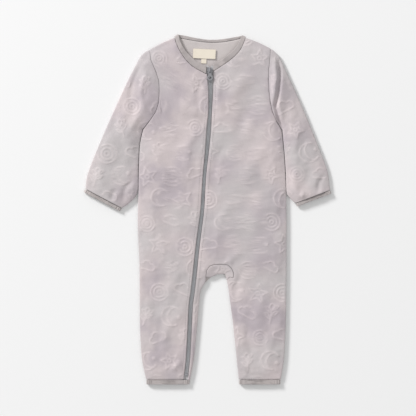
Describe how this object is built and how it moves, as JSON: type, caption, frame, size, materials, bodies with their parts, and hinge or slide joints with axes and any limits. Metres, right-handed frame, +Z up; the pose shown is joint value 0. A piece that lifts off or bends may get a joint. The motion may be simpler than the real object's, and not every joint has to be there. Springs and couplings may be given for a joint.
{
  "type": "onesie pajama",
  "caption": "Baby's long-sleeved velour onesie laid flat, open-footed, with a zip from the neck down one leg, a bound neckline, and bound cuffs and leg ends.",
  "frame": {"origin": "on the surface the garment lies on, under the middle of its outline", "axes": "+Y from the legs to the neck, +X towards the wearer's left sleeve, +Z up from the surface"},
  "size_m": [0.3965, 0.56, 0.0113],
  "materials": {
    "velour": "short-pile velour, matt with a faint sheen",
    "binding_jersey": "gathered elastic jersey",
    "zip_tape": "woven tape",
    "zip_coil": "moulded coil",
    "zip_metal": "grey enamel, satin",
    "label_cloth": "smooth woven ribbon"
  },
  "bodies": {
    "garment": {"back": "velour", "front_right": "velour", "front_left": "velour", "crotch_gusset": "velour", "sleeve_right": "velour", "sleeve_left": "velour", "cuff_binding_right": "binding_jersey", "cuff_binding_left": "binding_jersey", "leg_binding_right": "binding_jersey", "leg_binding_left": "binding_jersey", "neck_binding": "binding_jersey", "zip_tape_right": "zip_tape", "zip_tape_left": "zip_tape", "zip_chain": "zip_coil", "zip_bottom_stop": "zip_metal", "zip_slider": "zip_metal", "neck_label": "label_cloth", "size_tab": "label_cloth"},
    "pull_tab": {"zip_pull_tab": "zip_metal"}
  },
  "joints": [
    {"name": "pull_tab_hinge", "type": "hinge", "parent": "garment", "child": "pull_tab", "pos_m": [0.0033, 0.222, 0.009], "axis": [-1, 0, 0], "range_deg": [0, 150]}
  ]
}
